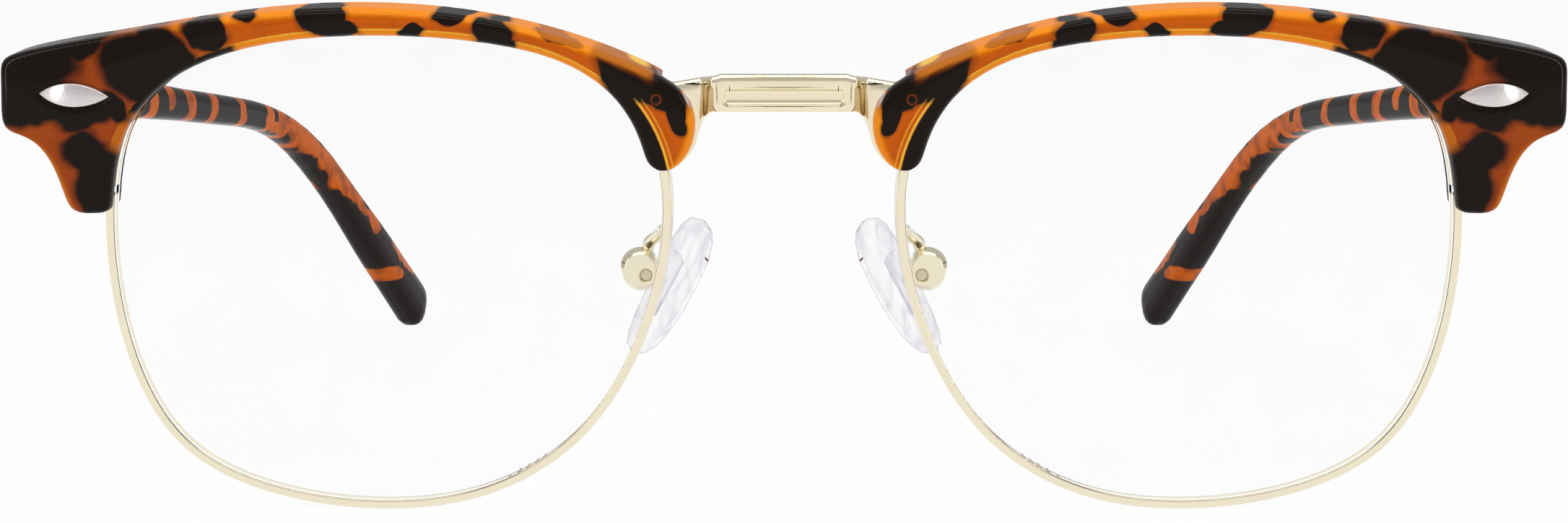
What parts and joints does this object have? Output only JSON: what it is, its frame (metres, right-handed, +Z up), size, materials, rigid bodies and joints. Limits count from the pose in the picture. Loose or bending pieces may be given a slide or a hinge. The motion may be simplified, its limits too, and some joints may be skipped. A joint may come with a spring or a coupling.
{
  "type": "browline glasses",
  "caption": "Browline glasses with half-frame brows, wire rims, rocking nose pads and folding temples.",
  "frame": {"origin": "on the ground under the middle of the bounding box: midway between the two sides, and midway between the front of the brows and the back of the temples", "axes": "+Z up, away from the ground that the rims and the temple tips stand on; +X to the wearer's left; +Y from the front to the ears"},
  "size_m": [0.1434, 0.149, 0.0467],
  "materials": {
    "tortoise": "polished amber and dark brown tortoiseshell acetate",
    "gold": "polished pale champagne gold plating",
    "silver": "polished, domed",
    "screw_steel": "turned, slotted heads",
    "wire": "drawn wire",
    "lens": "clear, coated",
    "clear_pad": "clear soft silicone",
    "clear_core": "clear hard plastic"
  },
  "bodies": {
    "front": {"bridge": "gold", "left_rim": "gold", "left_lens": "lens", "left_brow": "tortoise", "left_end_plaque": "silver", "left_closing_block": "gold", "left_rim_screw": "screw_steel", "left_end_screw": "screw_steel", "left_nasal_screw": "screw_steel", "left_front_hinge": "gold", "left_hinge_screw": "screw_steel", "left_pad_arm": "gold", "left_pad_box": "gold", "left_pad_screw": "screw_steel", "right_rim": "gold", "right_lens": "lens", "right_brow": "tortoise", "right_end_plaque": "silver", "right_closing_block": "gold", "right_rim_screw": "screw_steel", "right_end_screw": "screw_steel", "right_nasal_screw": "screw_steel", "right_front_hinge": "gold", "right_hinge_screw": "screw_steel", "right_pad_arm": "gold", "right_pad_box": "gold", "right_pad_screw": "screw_steel"},
    "left_temple_body": {"left_temple": "tortoise", "left_temple_core": "wire", "left_temple_hinge": "gold"},
    "left_pad_body": {"left_nose_pad": "clear_pad", "left_pad_insert": "clear_core"},
    "right_temple_body": {"right_temple": "tortoise", "right_temple_core": "wire", "right_temple_hinge": "gold"},
    "right_pad_body": {"right_nose_pad": "clear_pad", "right_pad_insert": "clear_core"}
  },
  "joints": [
    {"name": "left_temple_fold", "type": "hinge", "parent": "front", "child": "left_temple_body", "pos_m": [0.06622, -0.05994, 0.03866], "axis": [0, 0, 1], "range_deg": [0, 76]},
    {"name": "right_temple_fold", "type": "hinge", "parent": "front", "child": "right_temple_body", "pos_m": [-0.06622, -0.05994, 0.03866], "axis": [0, 0, -1], "range_deg": [0, 82]},
    {"name": "left_pad_rock", "type": "hinge", "parent": "front", "child": "left_pad_body", "pos_m": [0.0128, -0.06214, 0.02126], "axis": [0, 1, 0], "range_deg": [-8, 8]},
    {"name": "right_pad_rock", "type": "hinge", "parent": "front", "child": "right_pad_body", "pos_m": [-0.0128, -0.06214, 0.02126], "axis": [0, -1, 0], "range_deg": [-8, 8]}
  ]
}
